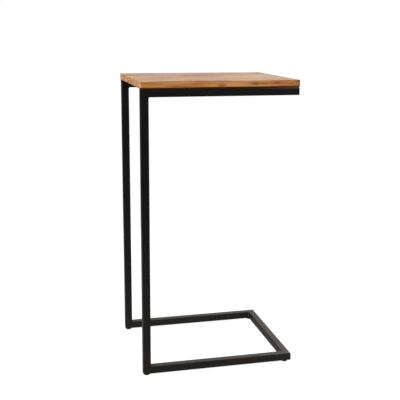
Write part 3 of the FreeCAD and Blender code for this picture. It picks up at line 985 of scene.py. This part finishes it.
class SIDETABLE_OT_wood_screws(bpy.types.Operator):
    """Makes the pan head screws that hold the top, with their cross recess and thread"""

    bl_idname = "side_table.wood_screws"
    bl_label = "Wood Screws"

    def execute(self, context):
        fitting = context.scene.side_table_fitting
        low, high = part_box("top_screws")
        length, pitch = (high.z - low.z) / MM, fitting.screw_pitch / MM
        head, head_height, crown, edge, step = 4.2, 2.5, 1.5, 0.3, 0.05
        angles = angles_round(64)

        # The cross recess, whose outline at each angle is the further of two crossed slots
        arm, rib, deep = 2.3, 0.55, 1.4
        cosine, sine = np.maximum(abs(np.cos(angles)), 1e-9), np.maximum(abs(np.sin(angles)), 1e-9)
        cross = np.maximum(np.minimum(arm / cosine, rib / sine), np.minimum(arm / sine, rib / cosine))
        recess = cross * np.array([[0.5], [0.62], [1]])
        recess_heights = np.array([[deep], [deep * 0.85], [step]])

        # The pan head, from the rim of the recess to the neck
        crest = fitting.screw_diameter / MM / 2
        rim = arm + 0.2
        blank, blank_heights = path_rows(
            [(rim, 0), (head, 0), (head, head_height), (crest, head_height)], {1: crown, 2: edge}
        )

        # The shank: a core with narrow ridges, eight rings a turn, that tapers to a blunt point
        core, narrowing, point, blunt = crest * 0.66, 1.6, 4, 0.15
        count = round(8 * (length - head_height) / pitch)
        heights = np.linspace(head_height + step, length, count)[:, None]
        ridge = 1 - np.minimum(thread_cut(heights, angles, pitch) * narrowing, 1)
        taper = np.clip((length - heights) / point, blunt, 1)
        shank = (core + (crest - core) * ridge) * taper

        radii = np.concatenate([recess, np.broadcast_to(blank, (len(blank), len(angles))), shank])
        rows = np.concatenate([recess_heights, blank_heights, heights])
        screws = []
        for corner in CORNERS:
            tab_low, tab_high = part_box(f"{corner}_tab")
            middle = (tab_low + tab_high) / 2
            screws.append(turned(radii, rows, (middle.x, middle.y, low.z)))
        zinc = finish(zinc_plated_steel)
        piece = skin("threaded_wood_screws", screws, zinc, TABLE)
        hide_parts("top_screws")
        return {"FINISHED"}


class SIDETABLE_OT_rivet_nuts(bpy.types.Operator):
    """Makes the knurled rivet nuts in the base, each with its inner thread"""

    bl_idname = "side_table.rivet_nuts"
    bl_label = "Rivet Nuts"

    def execute(self, context):
        fitting = context.scene.side_table_fitting
        low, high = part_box("foot_inserts")
        length, pitch = (high.z - low.z) / MM, fitting.stud_pitch / MM
        bore = fitting.stud_diameter / MM / 2 + PLAY
        mouth, flange, body, bulge = bore + 0.3, 6.5, 4.5, 5.7
        angles = angles_round(fitting.knurl_count * 4)

        # The flange, the neck in the tube's wall, the bulge that clamps it, and the body over that
        shell, shell_heights = path_rows(
            [
                (mouth, 0),
                (flange, 0),
                (flange, 0.8),
                (body, 0.8),
                (body, 2.3),
                (bulge, 2.4),
                (bulge, 3.6),
                (body, 4.9),
                (body, 6),
            ],
            {1: 0.3, 2: 0.2, 5: 0.3, 6: 0.6, 7: 0.6},
            3,
        )

        # Knurls from there up to the chamfer of the upper end
        chamfer, knurl_depth = 0.4, 0.2
        knurled_heights = np.linspace(6.3, length - chamfer, 4)[:, None]
        knurl = body - knurl_depth * (0.5 - 0.5 * np.cos(fitting.knurl_count * angles))
        top = np.array([[body - chamfer], [mouth]])
        top_heights = np.array([[length], [length]])

        # The inner thread, eight rings a turn, down to the lower mouth
        count = round((length - 0.6) / pitch * 8)
        bore_heights = np.linspace(length - 0.3, 0.3, count)[:, None]
        depth = THREAD_SHARE * pitch * thread_cut(bore_heights + low.z / MM, angles, pitch)

        full = np.ones((1, len(angles)))
        radii = np.concatenate([shell * full, knurl * np.ones((4, 1)), top * full, bore - depth])
        rows = np.concatenate([shell_heights, knurled_heights, top_heights, bore_heights])
        nuts = []
        for corner in CORNERS:
            pad_low, pad_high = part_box(f"{corner}_glide_pad")
            middle = (pad_low + pad_high) / 2
            nuts.append(turned(radii, rows, (middle.x, middle.y, low.z)))
        zinc = finish(zinc_plated_steel)
        piece = skin("knurled_rivet_nuts", nuts, zinc, TABLE, loop=True)
        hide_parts("foot_inserts")
        return {"FINISHED"}


class SIDETABLE_OT_glide_studs(bpy.types.Operator):
    """Makes the threaded studs of the glides, each on its disc head"""

    bl_idname = "side_table.glide_studs"
    bl_label = "Glide Studs"

    def execute(self, context):
        fitting = context.scene.side_table_fitting
        pitch, crest = fitting.stud_pitch / MM, fitting.stud_diameter / MM / 2
        depth = THREAD_SHARE * pitch
        head_height, edge, chamfer = 1.2, 0.3, 0.8
        angles = angles_round(40)
        zinc = finish(zinc_plated_steel)
        for corner in CORNERS:
            low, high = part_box(f"{corner}_glide_stud")
            length, head = (high.z - low.z) / MM, (high.x - low.x) / 2 / MM
            disc, disc_heights = path_rows(
                [(head * 0.5, 0), (head, 0), (head, head_height), (crest - depth, head_height)],
                {1: edge, 2: edge},
            )
            # The thread, ten rings a turn, with a chamfer at its end
            count = round((length - head_height) / pitch * 10)
            heights = np.linspace(head_height + 0.1, length, count)[:, None]
            cut = thread_cut(heights + low.z / MM, angles, pitch)
            chamfered = crest - chamfer + np.maximum(length - heights, 0)
            thread = np.minimum(crest - depth * cut, chamfered)
            radii = np.concatenate([np.broadcast_to(disc, (len(disc), len(angles))), thread])
            rows = np.concatenate([disc_heights, heights])
            middle = (low + high) / 2
            rings = turned(radii, rows, (middle.x, middle.y, low.z))
            piece = skin(f"{corner}_threaded_stud", [rings], zinc, f"{corner}_stud")
            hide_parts(f"{corner}_glide_stud")
        return {"FINISHED"}


class SIDETABLE_OT_glide_pads(bpy.types.Operator):
    """Makes the fluted nylon pads of the glides"""

    bl_idname = "side_table.glide_pads"
    bl_label = "Glide Pads"

    def execute(self, context):
        fitting = context.scene.side_table_fitting
        mouth = fitting.stud_diameter / MM / 2 + PLAY
        nylon = finish(moulded_nylon)
        angles = angles_round(fitting.flute_count * 8)
        flute = 1 - abs(np.cos(fitting.flute_count / 2 * angles))
        centre, hollow, ceiling, floor = 0.5, 5.05, 2.3, 1
        foot_rounding, lip_rounding, flute_depth = 1, 0.4, 0.35
        for corner in CORNERS:
            low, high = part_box(f"{corner}_glide_pad")
            outer, height = (high.x - low.x) / 2 / MM, (high.z - low.z) / MM
            # Up the outside and down round the hollow for the stud's head
            profile, heights = path_rows(
                [
                    (centre, 0),
                    (outer, 0),
                    (outer, height),
                    (mouth, height),
                    (mouth, ceiling),
                    (hollow, ceiling),
                    (hollow, floor),
                    (centre, floor),
                ],
                {1: foot_rounding, 2: lip_rounding},
            )
            # The flutes fade in over the outer 1 mm and the lowest 0.8 mm
            fluted = np.clip(profile - outer + 1, 0, 1) * np.clip(heights / 0.8, 0, 1)
            radii = profile - flute_depth * fluted * flute
            middle = (low + high) / 2
            rings = turned(radii, heights, (middle.x, middle.y, low.z))
            piece = skin(f"{corner}_fluted_pad", [rings], nylon, f"{corner}_pad")
            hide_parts(f"{corner}_glide_pad")
        return {"FINISHED"}


class SIDETABLE_OT_stage(bpy.types.Operator):
    """Sets up the floor, the white surroundings, the soft lamps and the camera"""

    bl_idname = "side_table.stage"
    bl_label = "Stage"

    def execute(self, context):
        settings = context.scene.side_table_stage
        scene = context.scene
        scene.view_settings.view_transform = "Standard"
        scene.world = white_studio(settings.ambient)
        floor = pale_floor(settings.floor_colour)

        # A large soft lamp far off at the front left, and a weak one at the back right
        for name, place, size, power in (
            ("key_lamp", (-4.9, -3.6, 3.6), 3.2, settings.key_power),
            ("fill_lamp", (2.2, 2.0, 2.4), 2.0, settings.key_power / 16),
        ):
            lamp = bpy.data.lights.new(name, "AREA")
            lamp.shape = "SQUARE"
            lamp.size = size
            lamp.energy = power
            lamp_object = bpy.data.objects.new(name, lamp)
            lamp_object.location = place
            towards_table = Vector((0, 0, 0.4)) - Vector(place)
            lamp_object.rotation_euler = towards_table.to_track_quat("-Z", "Y").to_euler()
            scene.collection.objects.link(lamp_object)

        camera = bpy.data.objects.new("camera", bpy.data.cameras.new("camera"))
        camera.data.lens = settings.lens
        camera.location = settings.camera_place
        camera.rotation_mode = "QUATERNION"
        camera.rotation_quaternion = (
            Quaternion((0, 0, 1), -settings.camera_heading)
            @ Quaternion((1, 0, 0), math.pi / 2 - settings.camera_dip)
            @ Quaternion((0, 0, 1), settings.camera_roll)
        )
        scene.collection.objects.link(camera)
        scene.camera = camera
        return {"FINISHED"}


class SIDETABLE_PT_panel(bpy.types.Panel):
    """Lists the steps that dress the table"""

    bl_idname = "SIDETABLE_PT_panel"
    bl_label = "Side Table"
    bl_space_type = "VIEW_3D"
    bl_region_type = "UI"
    bl_category = "Side Table"

    def draw(self, context):
        for operator in STEPS:
            self.layout.operator(operator.bl_idname)


STEPS = (
    SIDETABLE_OT_wood_top,
    SIDETABLE_OT_coated_frame,
    SIDETABLE_OT_weld_beads,
    SIDETABLE_OT_wood_screws,
    SIDETABLE_OT_rivet_nuts,
    SIDETABLE_OT_glide_studs,
    SIDETABLE_OT_glide_pads,
    SIDETABLE_OT_stage,
)
GROUPS = {
    "side_table_wood": WoodSettings,
    "side_table_steel": SteelSettings,
    "side_table_weld": WeldSettings,
    "side_table_fitting": FittingSettings,
    "side_table_stage": StageSettings,
}


def register():
    """Adds the settings, the steps and the panel to Blender."""
    for name, group in GROUPS.items():
        bpy.utils.register_class(group)
        setattr(bpy.types.Scene, name, PointerProperty(type=group))
    for operator in STEPS:
        bpy.utils.register_class(operator)
    bpy.utils.register_class(SIDETABLE_PT_panel)


def unregister():
    """Takes them out again."""
    bpy.utils.unregister_class(SIDETABLE_PT_panel)
    for operator in reversed(STEPS):
        bpy.utils.unregister_class(operator)
    for name, group in reversed(GROUPS.items()):
        delattr(bpy.types.Scene, name)
        bpy.utils.unregister_class(group)


def main():
    """Runs every step in order."""
    register()
    for operator in STEPS:
        group, name = operator.bl_idname.split(".")
        getattr(getattr(bpy.ops, group), name)()


if __name__ == "__main__":
    main()
